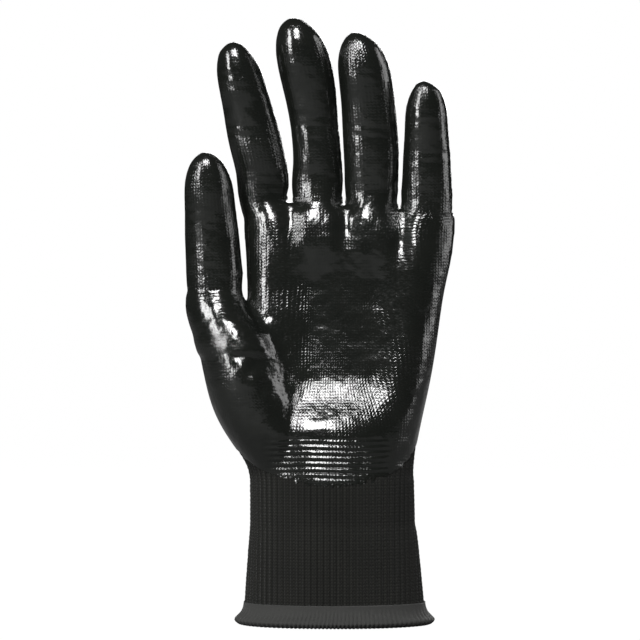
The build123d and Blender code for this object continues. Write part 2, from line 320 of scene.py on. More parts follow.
def fused_surface():
    """All tubes joined into one closed surface of even quads."""
    meshes = [tube("trunk", TRUNK_RINGS), tube("ball", ball_rings())]
    meshes += [tube(stall.name, stall.rings(), stall.apex) for stall in STALLS]
    joined = bmesh.new()
    for mesh in meshes:
        joined.from_mesh(mesh)
    mesh = bpy.data.meshes.new("fused")
    joined.to_mesh(mesh)
    joined.free()
    shape = bpy.data.objects.new("fused", mesh)
    bpy.context.scene.collection.objects.link(shape)
    remesh = shape.modifiers.new("Remesh", "REMESH")
    remesh.mode = "VOXEL"
    remesh.voxel_size = VOXEL
    remesh.adaptivity = 0
    graph = bpy.context.evaluated_depsgraph_get()
    made = bpy.data.meshes.new_from_object(shape.evaluated_get(graph))
    bpy.data.objects.remove(shape)
    return made


# ---------------------------------------------------------------- plain mesh work in arrays


def as_arrays(mesh):
    points = np.empty(len(mesh.vertices) * 3)
    mesh.vertices.foreach_get("co", points)
    corners = np.empty(len(mesh.loops), int)
    mesh.loops.foreach_get("vertex_index", corners)
    return points.reshape(-1, 3), corners.reshape(-1, 4)


def normals_of(points, quads):
    """Smooth normals at the points of a quad mesh."""
    across = points[quads[:, 2]] - points[quads[:, 0]]
    along = points[quads[:, 3]] - points[quads[:, 1]]
    flat = np.cross(across, along)
    total = np.zeros_like(points)
    for corner in range(4):
        for axis in range(3):
            total[:, axis] += np.bincount(quads[:, corner], flat[:, axis], len(points))
    return total / np.maximum(np.linalg.norm(total, axis=1, keepdims=True), 1e-12)


def sides_of(quads):
    """The four sides of every face, each as two point numbers, all first sides first."""
    return np.concatenate([quads[:, (n, (n + 1) % 4)] for n in range(4)])


def edges_of(quads):
    return np.unique(np.sort(sides_of(quads), axis=1), axis=0)


class Neighbours:
    """The points that share an edge with each point of a mesh."""

    def __init__(self, points, quads):
        self.a, self.b = edges_of(quads).T
        self.many = len(points)
        self.count = np.bincount(self.a, minlength=self.many) + np.bincount(self.b, minlength=self.many)

    def mean(self, values):
        total = np.bincount(self.a, values[self.b], self.many)
        return (total + np.bincount(self.b, values[self.a], self.many)) / self.count


OUTWARD = -1.05  # every second pull goes back, a little stronger, so that the surface doesn't shrink
INWARD = 1.0  # every second pull is like the first, which rounds more and shrinks


def smoothed(points, quads, weight, rounds, second=OUTWARD):
    """Each point pulled towards the middle of its neighbours, every second time by second as much."""
    near = Neighbours(points, quads)
    points = points.copy()
    for turn in range(rounds):
        pull = weight if turn % 2 == 0 else second * weight
        middle = np.stack([near.mean(points[:, axis]) for axis in range(3)], axis=1)
        points += (middle - points) * pull[:, None]
    return points


def flattened(points, quads, weight, rounds):
    """The depths of the points, evened between neighbours, so that a shelf becomes a slope."""
    near = Neighbours(points, quads)
    depth = points[:, 1].copy()
    for _ in range(rounds):
        depth += (near.mean(depth) - depth) * weight
    return depth


def step(values, start, end):
    share = np.clip((values - start) / (end - start), 0, 1)
    return share * share * (3 - 2 * share)


def bump_at(points, place, spread):
    """A smooth hill of height 1 round a place."""
    away = (points - np.array(place)) / np.array(spread)
    return np.exp(-(away**2).sum(axis=1))


# ---------------------------------------------------------------- where a point is on the glove


WEB_RISE = 0.5 * MM  # a stall's own faces start this far above its web
WEB_TOP = 5 * MM  # up to this far above it, a face has to lie near the stall's axis to be its own
WEB_REACH = 2.6  # squared distance from the axis, in the stall's own radii, that counts as near
WALES = {"trunk": 150, "index": 44, "middle": 44, "ring": 46, "little": 40, "thumb": 46}
COURSE = 1.25 * MM  # height of a course of knit
OUTLINE_TURNS = 181


def front_angle(x, y):
    """Angle round the trunk from the thumb's side, past the front."""
    return np.mod(np.arctan2(x - TRUNK_X, -y) + pi / 2, 2 * pi)


def outline_table(rings):
    """For each ring, its length from the front at even angles, the thumb's side first."""
    table = []
    turns = np.linspace(0, 2 * pi, OUTLINE_TURNS)
    for ring in rings:
        ring = np.array(ring)
        angle = front_angle(ring[:, 0], ring[:, 1])
        order = np.argsort(angle)
        x = np.interp(turns, angle[order], ring[order, 0], period=2 * pi)
        y = np.interp(turns, angle[order], ring[order, 1], period=2 * pi)
        length = np.concatenate(([0], np.cumsum(np.hypot(np.diff(x), np.diff(y)))))
        table.append(length - np.interp(pi / 2, turns, length))
    return np.array(table) / (table[0][-1] - table[0][0])


OUTLINE_LEVELS = [np.mean([p[2] for p in ring]) for ring in TRUNK_RINGS]
OUTLINES = outline_table(TRUNK_RINGS)
LEFT_SIDES = [min(p[0] for p in ring) for ring in TRUNK_RINGS]


def trunk_turn(x, y, z):
    """Length along the palm's outline from its front, as a share of the cuff's outline."""
    angle = front_angle(x, y) / (2 * pi) * (OUTLINE_TURNS - 1)
    row = np.interp(z, OUTLINE_LEVELS, np.arange(len(OUTLINE_LEVELS)))
    low, left = np.floor(row).astype(int), np.floor(angle).astype(int)
    high = np.minimum(low + 1, len(OUTLINE_LEVELS) - 1)
    right = np.minimum(left + 1, OUTLINE_TURNS - 1)
    up, on = row - low, angle - left
    lower = OUTLINES[low, left] * (1 - on) + OUTLINES[low, right] * on
    upper = OUTLINES[high, left] * (1 - on) + OUTLINES[high, right] * on
    return lower * (1 - up) + upper * up


def offsets(stall, x, y, z):
    """How far points lie from a stall's axis, in its own half width and depth, and that depth."""
    cx, cy = stall.centre(z)
    wide, deep = (np.maximum(size, 4 * MM) for size in stall.size(z))
    return (x - cx) / wide, (y - cy) / deep, deep


class Places:
    """For each point: the stall it is on, or -1 on the trunk, and its knit coordinates.

    On a stall it also says how far back the point lies, as a share of the half depth, and that depth.
    """

    def __init__(self, points):
        x, y, z = points.T
        self.stall = np.full(len(points), -1)
        self.back, self.deep = np.zeros(len(points)), np.zeros(len(points))
        self.wales = np.full(len(points), float(WALES["trunk"]))
        self.courses = z / COURSE
        self.turn = trunk_turn(x, y, z)
        near = self.nearest(x, y, z)
        for number, stall in enumerate(STALLS):
            off_x, off_y, deep = offsets(stall, x, y, z)
            palm = (z < stall.web + WEB_RISE) | ((near > WEB_REACH) & (z < stall.web + WEB_TOP))
            own = (self.stall == number) & ~palm
            self.stall[(self.stall == number) & palm] = -1
            self.turn[own] = (np.arctan2(off_x, -off_y) / (2 * pi))[own]
            self.back[own] = off_y[own]
            self.wales[own] = WALES[stall.name]
            self.deep[own] = deep[own]

    def nearest(self, x, y, z):
        """Set each point's nearest stall, and return its squared distance from that stall's axis."""
        near = np.full(len(x), np.inf)
        for number, stall in enumerate(STALLS):
            off_x, off_y, _ = offsets(stall, x, y, z)
            away = off_x**2 + off_y**2
            closer = (away < near) & (z > stall.web - 8 * MM) & (z < stall.apex.z + 4 * MM)
            if stall.name == "thumb":
                palm_left = np.interp(z, OUTLINE_LEVELS, LEFT_SIDES)
                closer &= x < (stall.centre(z)[0] + stall.size(z)[0] + palm_left) / 2
            near[closer] = away[closer]
            self.stall[closer] = number
        return near


def knit_corners(points, quads, number):
    """Wale and course numbers at each corner, counted as on one stall or, at -1, on the trunk."""
    x, y, z = points.T
    if number < 0:
        turn, wales = trunk_turn(x, y, z), WALES["trunk"]
        length = wales * (OUTLINES[0][-1] - OUTLINES[0][0])
    else:
        off_x, off_y, _ = offsets(STALLS[number], x, y, z)
        turn = np.arctan2(off_x, -off_y) / (2 * pi)
        length = wales = WALES[STALLS[number].name]
    wale, course = (turn * wales)[quads], (z / COURSE)[quads]
    spread = wale.max(axis=1, keepdims=True) - wale.min(axis=1, keepdims=True)
    past_seam = (spread > length / 2) & (wale < wale.mean(axis=1, keepdims=True))
    wale = np.where(past_seam, wale + length, wale)
    return np.stack((wale, course, np.zeros_like(wale)), axis=2)


# ---------------------------------------------------------------- shaping


HEEL = 57.2 * MM  # height of the coating's lower edge at the front
HEEL_RISE = 0.9  # how steeply that edge rises towards the back
BACK_EDGE = 0.42  # how far back the coating wraps, as a share of the half depth
PALM_EDGE = BACK_EDGE * 8 * MM  # how far back it wraps on the palm
SIDE_EDGE = -0.12  # on the fingers' right sides it stops short, and a strip of knit shows
LEAN = 0.11  # how much less far back it wraps beside the thumb, for each metre across
TIP_WRAP = 14 * MM  # how far down the whole of a fingertip is coated
RAGGED = (1.3 * MM, 0.9 * MM)  # unevenness of the edge from wale to wale and from course to course


def scatter(values):
    """A repeatable number from 0 to 1 for each whole number."""
    return np.modf(np.abs(np.sin(np.floor(values) * 12.9898) * 43758.5453))[0]


def coated(points, places):
    """How far inside the coating's uneven edge each point lies, in metres."""
    x, y, z = points.T
    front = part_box("wrist_fold")[0].y
    lean = np.clip(BY_NAME["thumb"].inner_side() - x, 0, None) * LEAN
    side = PALM_EDGE - y - lean
    heel = (z - (HEEL + HEEL_RISE * (y - front))) / sqrt(1 + HEEL_RISE**2)
    inside = np.minimum(side, heel)
    for number, stall in enumerate(STALLS):
        on = places.stall == number
        bare_side = (places.turn[on] > 0) & (stall.name != "thumb")
        wrap = (np.where(bare_side, SIDE_EDGE, BACK_EDGE) - places.back[on]) * places.deep[on]
        tip = z[on] - (stall.apex.z - TIP_WRAP)
        inside[on] = np.maximum(wrap, tip)
    by_wale = scatter(places.turn * places.wales) - 0.5
    by_course = scatter(places.courses + 7) - 0.5
    return inside + by_wale * RAGGED[0] + by_course * RAGGED[1]


def millimetres(*values):
    return tuple(value * MM for value in values)


CREASE_SHIFT = 1.9 * MM  # a crease lies this far above and below each fold
CREASE = millimetres(1.5, 0.12)  # its half width and depth
MIDDLE_CREASE = millimetres(1.6, 0.22)  # the same at the fingers' middle folds


def creases(points, places):
    """Depth of the creases across the stalls at their folds, on the palm's side."""
    depth = np.zeros(len(points))
    for number, stall in enumerate(STALLS):
        on = np.where(places.stall == number)[0]
        front = step(-places.back[on], 0.0, 0.8)
        for order, place in enumerate(stall.places):
            along = points[on, 2] - place.z + (points[on, 0] - place.x) * 0.12
            middle = order == 1 and stall.name != "thumb"
            width, deep = MIDDLE_CREASE if middle else CREASE
            for shift in (-CREASE_SHIFT, CREASE_SHIFT):
                depth[on] += deep * front * np.exp(-(((along - shift) / width) ** 2))
    return depth


def highest_bump(points, hills):
    """The highest at each point of some bumps, each a height, a place and a spread."""
    most = np.zeros(len(points))
    for height, place, spread in hills:
        most = np.maximum(most, height * bump_at(points, place, spread))
    return most


def between(feet):
    return [(left + right) / 2 for left, right in zip(feet, feet[1:])]


def joins_eased(points, quads, feet):
    """The surface smoothed everywhere, and most where the stalls and the thumb's ball join the palm."""
    points = smoothed(points, quads, np.full(len(points), 0.5), 24)
    crotch = (BY_NAME["thumb"].inner_side(), -5 * MM, BY_NAME["thumb"].web)
    hills = [(0.5, web, millimetres(9, 14, 8)) for web in between(feet)]
    hills += [(1, foot - Vector((0, 0, 4 * MM)), millimetres(16, 30, 10)) for foot in feet]
    hills.append((1, crotch, millimetres(10, 16, 12)))
    hills.append((1, millimetres(-26, -16, 98), millimetres(26, 16, 42)))
    hills.append((0.8, millimetres(-40, 12, 110), millimetres(20, 14, 40)))
    soft = highest_bump(points, hills)
    return smoothed(points, quads, 0.65 * np.clip(soft * 1.4, 0, 1), 240)


def webs_eased(points, quads, feet):
    """The palm thinned towards the webs, its shelf there made a slope, and the webs rounded."""
    web_line = np.interp(points[:, 0], [foot.x for foot in feet], [foot.z for foot in feet])
    below = (web_line - points[:, 2]) / MM
    thick = np.abs(points[:, 1]) / MM
    slope = np.minimum(1, (8.0 + 0.22 * np.clip(below, 0, None)) / np.maximum(thick, 1))
    on_palm = points[:, 0] > feet[0].x - 12.5 * MM
    points[:, 1] *= 1 + (slope - 1) * step(below, 22, 12) * (below > -1.5) * on_palm
    shelf = [(1, foot - Vector((0, 0, 2 * MM)), millimetres(16, 60, 11)) for foot in feet]
    points[:, 1] = flattened(points, quads, 0.6 * highest_bump(points, shelf), 260)
    webs = highest_bump(points, [(1, web, millimetres(11, 16, 6)) for web in between(feet)])
    return smoothed(points, quads, 0.6 * np.clip(webs * 1.3, 0, 1), 36, INWARD)


# Pads in millimetres: how far each stands out, its place and its spread
PADS = (
    (1.6, (-36, -20, 104), (12, 20, 24)),  # the ball of the thumb
    (1.8, (28, -18, 98), (12, 20, 26)),  # the little finger's side
    (1.8, (-4, -20, 78), (28, 20, 9)),  # the heel
)
HOLLOW = 4.6 * MM  # depth of the palm's hollow
VALLEY = 2.0 * MM  # depth of the valleys below the webs
FOOT = 0.5 * MM  # how far the fingers' feet stand out
TIP_PAD = 1.1 * MM
WEB_FILLS = millimetres(1.5, 0.6, 0.45)  # how far the walls beside each web are moved together


def hollow_at(points):
    """The palm's hollow, 1 in its middle and 0 outside, with a rim that wavers on the thumb's side."""
    x, _, z = points.T
    rim = 2 * MM * np.sin((z - 80 * MM) / (24 * MM))
    along = step(z, 80 * MM, 104 * MM) * (1 - step(z, 138 * MM, 168 * MM))
    return along * (step(x, -30 * MM + rim, -8 * MM + rim) * (1 - step(x, 16 * MM, 38 * MM)))


def relief(points, normals, feet):
    """How far each point is moved outwards: hollow, pads, valleys and webs."""
    move = -HOLLOW * hollow_at(points)
    for height, place, spread in PADS:
        move += height * MM * bump_at(points, millimetres(*place), millimetres(*spread))
    for web in between(feet):
        valley = web + Vector((0, -10 * MM, -9 * MM))
        move -= VALLEY * bump_at(points, valley, millimetres(4.5, 20, 13))
    for foot in feet:
        place = foot + Vector((0, -8 * MM, -1.5 * MM))
        move += FOOT * bump_at(points, place, millimetres(7, 12, 7))
    for stall in STALLS:
        pad = stall.apex - Vector((0, 9 * MM, 19 * MM))
        move += TIP_PAD * bump_at(points, pad, millimetres(7, 9, 9))
    move *= step(-normals[:, 1], 0.2, 0.9)
    walls = step(np.abs(normals[:, 0]), 0.3, 0.9)
    for web, fill in zip(between(feet), WEB_FILLS):
        place = web + Vector((0, 0, 3 * MM))
        move += fill * walls * bump_at(points, place, millimetres(8, 14, 8))
    return move


def shaped(points, quads):
    """The fused surface with the hand's form inside it showing: ball, heel, hollow and creases."""
    first = Places(points)
    for number, stall in enumerate(STALLS):
        on = first.stall == number
        points[on, 0] -= stall.apart(points[on, 2])
    feet = [stall.foot() for stall in STALLS[:4]]
    points = joins_eased(points, quads, feet)
    points = webs_eased(points, quads, feet)
    normals = normals_of(points, quads)
    move = relief(points, normals, feet) - creases(points, Places(points))
    return points + normals * move[:, None]


# ---------------------------------------------------------------- pieces


def new_piece(name, points, faces, corner_normals, material, knit):
    """A mesh object with its own corner normals and its knit coordinates."""
    mesh = bpy.data.meshes.new(name)
    mesh.from_pydata(points.tolist(), [], faces.tolist())
    mesh.polygons.foreach_set("use_smooth", [True] * len(mesh.polygons))
    layer = mesh.attributes.new("knit", "FLOAT_VECTOR", "CORNER")
    layer.data.foreach_set("vector", knit.reshape(-1).astype(np.float32))
    mesh.normals_split_custom_set(corner_normals.reshape(-1, 3).tolist())
    mesh.materials.append(material)
    piece = bpy.data.objects.new(name, mesh)
    bpy.context.scene.collection.objects.link(piece)
    return piece


def shell(points, normals, quads, knit, thickness):
    """Outer and inner faces and the rim between them: points, faces, corner normals, knit numbers."""
    used, flat = np.unique(quads, return_inverse=True)
    outer = flat.reshape(-1, 4)
    top, up = points[used], normals[used]
    count = len(used)
    sides = sides_of(outer)
    _, first, seen = np.unique(np.sort(sides, axis=1), axis=0, return_index=True, return_counts=True)
    rim = sides[first[seen == 1]]
    rim_faces = np.stack((rim[:, 1], rim[:, 0], rim[:, 0] + count, rim[:, 1] + count), axis=1)
    both = np.concatenate((top, top - up * thickness[used][:, None]))
    faces = np.concatenate((outer, outer[:, ::-1] + count, rim_faces))
    across = both[rim_faces[:, 2]] - both[rim_faces[:, 0]]
    along = both[rim_faces[:, 3]] - both[rim_faces[:, 1]]
    edge = np.cross(across, along)
    edge /= np.maximum(np.linalg.norm(edge, axis=1, keepdims=True), 1e-12)
    edge = np.repeat(edge[:, None, :], 4, axis=1)
    corner_normals = np.concatenate((up[outer], -up[outer][:, ::-1], edge))
    corner_knit = np.concatenate((knit, knit[:, ::-1], np.zeros_like(edge)))
    return both, faces, corner_normals, corner_knit


def largest_part(quads, chosen):
    """The chosen faces without those that no shared edge joins to the most of them."""
    _, edge = np.unique(np.sort(sides_of(quads[chosen]), axis=1), axis=0, return_inverse=True)
    sides = edge.reshape(4, -1).T
    label = np.arange(edge.max() + 1)
    while True:
        before = label.copy()
        np.minimum.at(label, sides, label[sides].min(axis=1, keepdims=True))
        label = label[label]
        if (label == before).all():
            break
    own = label[sides[:, 0]]
    kept = chosen.copy()
    kept[chosen] = own == np.bincount(own).argmax()
    return kept


def quartered(points, quads, chosen):
    """The chosen faces divided into four, the others kept; neighbours only share their corners."""
    small = quads[chosen]
    edges, which = np.unique(np.sort(sides_of(small), axis=1), axis=0, return_inverse=True)
    middles = (points[edges[:, 0]] + points[edges[:, 1]]) / 2
    hearts = points[small].mean(axis=1)
    side = len(points) + which.reshape(-1).reshape(4, -1).T
    heart = len(points) + len(middles) + np.arange(len(small))
    made = [quads[~chosen]]
    for n in range(4):
        made.append(np.stack((small[:, n], side[:, n], heart, side[:, (n + 3) % 4]), axis=1))
    return np.concatenate((points, middles, hearts)), np.concatenate(made)


RIBBED = 80 * MM  # height up to which the surface is fine enough for the ribs
RIBS = 80  # ribs round the cuff
RIB = 0.2 * MM  # half of a rib's height
COURSE_STEP = millimetres(1.9, 0.05)  # the cuff's courses: their spacing and half height
RIDGE_STEP = millimetres(2.3, 0.28)  # the ridges that show through the coating at the heel


def ribbed(points, normals, places, inside):
    """The cuff's ribs and courses, and the ridges that show through the coating at the heel."""
    x, _, z = points.T
    bare = 1 - step(inside, -1.5 * MM, 0.5 * MM)
    fade = (1 - step(z, 68 * MM, 79 * MM)) * bare
    move = RIB * np.cos(2 * pi * places.turn * RIBS) * fade
    spacing, height = COURSE_STEP
    course = np.cos(2 * pi * z / spacing + 1.2 * np.sin(2 * pi * places.turn * RIBS / 2))
    move += height * course * fade
    heel = step(inside, 0.5 * MM, 3 * MM) * (1 - step(z, 74 * MM, 79 * MM)) * step(-normals[:, 1], 0.4, 0.9)
    spacing, height = RIDGE_STEP
    ridge = np.cos(2 * pi * z / spacing + 0.6 * np.sin(x / (6 * MM)))
    move += height * ridge * heel * step(x, -30 * MM, -16 * MM) * (1 - step(x, 14 * MM, 26 * MM))
    return points + normals * move[:, None]


# Where each stall bends and is cut, in millimetres above its web: the start and end of each joint's
# blend, and the height at which the piece that crosses that joint ends
BENDS = {
    "index": ((2, 15, 16), (16.5, 38, 39), (40.5, 54.5, 99)),
    "middle": ((1.5, 14, 17), (20, 42, 43.5), (46.5, 61, 99)),
    "ring": ((1.5, 14, 17), (19, 41, 42), (45, 60, 99)),
    "little": ((1.5, 13, 14), (14.5, 32, 32.5), (33, 46, 99)),
    "thumb": ((2.5, 16, 18.5), (21, 41, 99)),
}
CUFF_TOP = 36 * MM
WRIST_BLEND = (38 * MM, 62 * MM)
FOOT_CUT = 1.6 * MM  # the knit starts here, inside the hem


class Part:
    """One part of the surface: its faces, how it moves, and the CAD nodes that its layers replace."""

    def __init__(self, name, faces, motion, liners, coatings=(), number=-1, slot="knit"):
        self.name, self.faces, self.number, self.slot = name, faces, number, slot
        self.motion, self.liners, self.coatings = motion, liners, coatings


def trunk_parts(z, trunk, fine):
    span = [Vector((0, 0, height)) for height in WRIST_BLEND]
    low = z < CUFF_TOP
    yield Part("cuff", trunk & low, ("cuff",), ["cuff_liner"], slot="cuff_knit")
    yield Part("wrist", trunk & ~low & fine, ("cuff", "palm", *span), ["wrist_fold"], slot="cuff_knit")
    yield Part("palm", trunk & ~fine, ("palm",), ["palm_liner"], ["palm_coating"])


def stall_parts(number, own, z):
    name, web = STALLS[number].name, STALLS[number].web
    low, before = -1.0, "palm"
    for fold, segment, heights in zip(FOLDS[name], SEGMENTS[name], BENDS[name]):
        start, end, high = (web + height * MM for height in heights)
        span = [Vector((*STALLS[number].centre(height), height)) for height in (start, end)]
        after = f"{name}_{segment}"
        faces = own & (z >= low) & (z < high)
        liners = [f"{after}_liner", f"{name}_{fold}_fold"]
        motion = (before, after, *span)
        yield Part(f"{name}_{fold}", faces, motion, liners, [f"{after}_coating"], number)
        low, before = high, after


def parts_of(points, quads, fine):
    middle = points[quads].mean(axis=1)
    stall_of, z = Places(middle).stall, middle[:, 2]
    yield from trunk_parts(z, stall_of < 0, fine)
    for number in range(len(STALLS)):
        yield from stall_parts(number, stall_of == number, z)


def move_with(piece, motion):
    if len(motion) == 1:
        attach(piece, motion[0])
    else:
        first, second, start, end = motion
        tuple(start)
        tuple(end)
        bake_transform(piece)


def glove_surface():
    """The finished outside of the knit: points, faces and which of them are fine ones."""
    points, quads = as_arrays(fused_surface())
    points = shaped(points, quads)
    low = points[quads][:, :, 2].mean(axis=1) < RIBBED
    points, quads = quartered(points, quads, low)
    fine = np.arange(len(quads)) >= (~low).sum()
    kept = points[quads][:, :, 2].min(axis=1) >= FOOT_CUT
    quads, fine = quads[kept], fine[kept]
    places = Places(points)
    inside = coated(points, places)
    points = ribbed(points, normals_of(points, quads), places, inside)
    return points, quads, fine, inside


def build_glove():
    points, quads, fine, inside = glove_surface()
    normals = normals_of(points, quads)
    film = FILM_EDGE + (FILM - FILM_EDGE) * np.sqrt(np.clip(inside, 0, FILM_SLOPE) / FILM_SLOPE)
    coating = points + normals * film[:, None]
    covered = inside[quads].mean(axis=1) > 0
    wall = KNIT + CUFF_EXTRA * (1 - step(points[:, 2], 40 * MM, 50 * MM))
    for part in parts_of(points, quads, fine):
        layers = [("knit", part.slot, part.faces, points, wall, part.liners)]
        if (part.faces & covered).any():
            wet = largest_part(quads, part.faces & covered)
            layers.append(("film", "nitrile", wet, coating, film - FILM_BOND, part.coatings))
        for layer, slot, faces, outside, thick, nodes in layers:
            knit = knit_corners(points, quads[part.faces], part.number)[faces[part.faces]]
            made = shell(outside, normals, quads[faces], knit, thick)
            add_piece(f"{part.name}_{layer}", slot, made, nodes, part.motion)


def add_piece(name, slot, made, nodes, motion):
    shown, faces, corner_normals, knit = made
    piece = new_piece(name, shown, faces, corner_normals, MATERIALS[slot], knit)
    if nodes:
        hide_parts(*nodes)
    move_with(piece, motion)


# ---------------------------------------------------------------- the hem

HEM_SECTION = (
    # how far out of the cuff's outside, and how high, in millimetres
    (0.10, 9.4), (0.25, 8.0), (0.55, 6.6), (1.1, 5.3), (1.9, 4.3), (2.8, 3.5), (3.6, 2.8),
    (3.9, 2.0), (3.4, 1.2), (2.4, 0.5), (1.2, 0.1), (0.0, 0.02), (-1.2, 0.05), (-2.1, 0.4),
    (-2.6, 1.3), (-2.7, 2.6), (-2.5, 4.0), (-2.2, 5.2), (-1.6, 5.8), (-0.7, 7.4),
)
HEM_TOP = HEM_SECTION[0][1] * MM
HEM_HEART = np.array((0.5 * MM, 3.0 * MM))  # the loops stand out away from here
HEM_ROWS = 48
HEM_STITCHES = 104
STITCH_POINTS = 6
LOOP = 0.22 * MM  # half of a loop's height


def hem_line(turns):
    """Points along the cuff's foot, and the directions out of it."""
    ring = np.array(TRUNK_RINGS[0])
    angle = np.arctan2(ring[:, 1], ring[:, 0] - TRUNK_X)
    order = np.argsort(angle)
    x = np.interp(turns, angle[order], ring[order, 0], period=2 * pi)
    y = np.interp(turns, angle[order], ring[order, 1], period=2 * pi)
    along = np.stack((np.roll(x, -1) - np.roll(x, 1), np.roll(y, -1) - np.roll(y, 1)), axis=1)
    along /= np.linalg.norm(along, axis=1, keepdims=True)
    return x, y, np.stack((along[:, 1], -along[:, 0]), axis=1)


def hem_profile():
    """The hem's section at even steps."""
    section = np.array(HEM_SECTION) * MM
    closed = np.concatenate((section, section[:1]))
    at = np.linspace(0, len(section), HEM_ROWS, endpoint=False)
    return np.stack([np.interp(at, np.arange(len(closed)), closed[:, n]) for n in range(2)], axis=1)


def build_hem():
    """The flared edge, bound by overlock loops that lean along it."""
    turns = np.linspace(-pi, pi, HEM_STITCHES * STITCH_POINTS, endpoint=False)
    x, y, out = hem_line(turns)
    points = []
    for row, (far, high) in enumerate(hem_profile()):
        lean = row / HEM_ROWS * 2 * pi
        loop = np.cos(HEM_STITCHES * turns + lean * 1.5)
        grow = LOOP * loop * float(step(np.array(HEM_TOP - high), 0.0, 3.0 * MM))
        away = np.array((far, high)) - HEM_HEART
        away /= np.linalg.norm(away)
        reach = far + grow * away[0]
        height = np.maximum(high + grow * away[1], 0.0)
        points.append(np.stack((x + out[:, 0] * reach, y + out[:, 1] * reach, height), axis=1))
    points = np.concatenate(points)
    count = len(turns)
    n, row = np.meshgrid(np.arange(count), np.arange(HEM_ROWS))
    nxt, down = (n + 1) % count, (row + 1) % HEM_ROWS
    quads = np.stack((row * count + n, down * count + n, down * count + nxt, row * count + nxt), axis=2)
    quads = quads.reshape(-1, 4)
    knit = np.stack((n / STITCH_POINTS, row / 2, np.zeros(n.shape)), axis=2).reshape(-1, 3)
    made = points, quads, normals_of(points, quads)[quads], knit[quads]
    add_piece("hem", "hem_thread", made, ["hem_thread"], ("cuff",))


# ---------------------------------------------------------------- materials


class Nodes:
    """Short ways to add shader nodes."""

    def __init__(self, name):
        self.material = bpy.data.materials.new(name)
        self.material.use_nodes = True
        self.tree = self.material.node_tree
        self.shader = self.tree.nodes["Principled BSDF"]

    def add(self, kind, **settings):
        node = self.tree.nodes.new(kind)
        for key, value in settings.items():
            setattr(node, key, value)
        return node

    def link(self, source, target):
        self.tree.links.new(source, target)

    def math(self, operation, *values):
        node = self.add("ShaderNodeMath", operation=operation)
        for socket, value in zip(node.inputs, values):
            if isinstance(value, (int, float)):
                socket.default_value = value
            else:
                self.link(value, socket)
        return node.outputs[0]

    def ramp(self, factor, low, high, start=0.0, end=1.0):
        node = self.add("ShaderNodeMapRange")
        self.link(factor, node.inputs["Value"])
        for key, value in (("From Min", start), ("From Max", end), ("To Min", low), ("To Max", high)):
            node.inputs[key].default_value = value
        return node.outputs[0]

    def blend(self, factor, low, high):
        node = self.add("ShaderNodeMix", data_type="RGBA")
        self.link(factor, node.inputs["Factor"])
        node.inputs["A"].default_value = (*low, 1)
        node.inputs["B"].default_value = (*high, 1)
        return node.outputs["Result"]

    def noise(self, vector, scale, detail):
        node = self.add("ShaderNodeTexNoise")
        self.link(vector, node.inputs["Vector"])
        node.inputs["Scale"].default_value = scale
        node.inputs["Detail"].default_value = detail
        return node.outputs["Fac"]

    def body(self):
        return self.add("ShaderNodeTexCoord").outputs["Object"]

    def stretched(self, vector, scale):
        node = self.add("ShaderNodeMapping")
        self.link(vector, node.inputs["Vector"])
        node.inputs["Scale"].default_value = scale
        return node.outputs["Vector"]

    def bumped(self, *layers):
        """Bump layers on each other, each a height, a distance in metres and a strength."""
        normal = None
        for height, distance, strength in layers:
            node = self.add("ShaderNodeBump")
            self.link(height, node.inputs["Height"])
            node.inputs["Distance"].default_value = distance
            node.inputs["Strength"].default_value = strength
            if normal is not None:
                self.link(normal, node.inputs["Normal"])
            normal = node.outputs["Normal"]
        self.link(normal, self.shader.inputs["Normal"])


def stitches(nodes):
    """Height of plain knit, 0 to 1, from the wale and course numbers: rows of small V shapes."""
    attribute = nodes.add("ShaderNodeAttribute", attribute_name="knit")
    split = nodes.add("ShaderNodeSeparateXYZ")
    nodes.link(attribute.outputs["Vector"], split.inputs["Vector"])
    wale, course = split.outputs["X"], split.outputs["Y"]
    across = nodes.math("SUBTRACT", nodes.math("FRACT", wale), 0.5)
    side = nodes.math("MULTIPLY", nodes.math("ABSOLUTE", across), 2.0)
    phase = nodes.math("ADD", course, nodes.math("MULTIPLY", side, 0.55))
    loop = nodes.math("COSINE", nodes.math("MULTIPLY", phase, 2 * pi))
    loop = nodes.math("MULTIPLY_ADD", loop, 0.5, 0.5)
    crown = nodes.math("SUBTRACT", 1.0, nodes.math("MULTIPLY", side, side))
    height = nodes.math("MULTIPLY", crown, nodes.math("MULTIPLY_ADD", loop, 0.7, 0.3))
    return attribute.outputs["Vector"], height


def knit_material(name, dark, light, depth, roughness):
    nodes = Nodes(name)
    knit, height = stitches(nodes)
    fibre = nodes.noise(nodes.stretched(knit, (6.0, 1.2, 1.0)), 2.0, 5.0)
    cloud = nodes.noise(nodes.body(), 55.0, 2.0)
    # Painted shade: the knit's colour is darker in the gaps between the stitches' loops and lighter on
    # their crowns; the fibre and cloud noise add the yarn's own uneven tone
    gap_shade = nodes.math("MULTIPLY", height, nodes.ramp(fibre, 0.4, 1.2, 0.3, 0.7))
    gap_shade = nodes.math("MULTIPLY", gap_shade, nodes.ramp(cloud, 0.75, 1.15, 0.35, 0.65))
    nodes.link(nodes.blend(gap_shade, dark, light), nodes.shader.inputs["Base Color"])
    nodes.link(nodes.ramp(fibre, roughness - 0.08, roughness + 0.08), nodes.shader.inputs["Roughness"])
    nodes.shader.inputs["Sheen Weight"].default_value = 0.04
    nodes.shader.inputs["Sheen Roughness"].default_value = 0.5
    nodes.shader.inputs["Specular IOR Level"].default_value = 0.14
    nodes.bumped((height, depth, 0.9), (fibre, 0.12 * MM, 0.5))
    return nodes.material


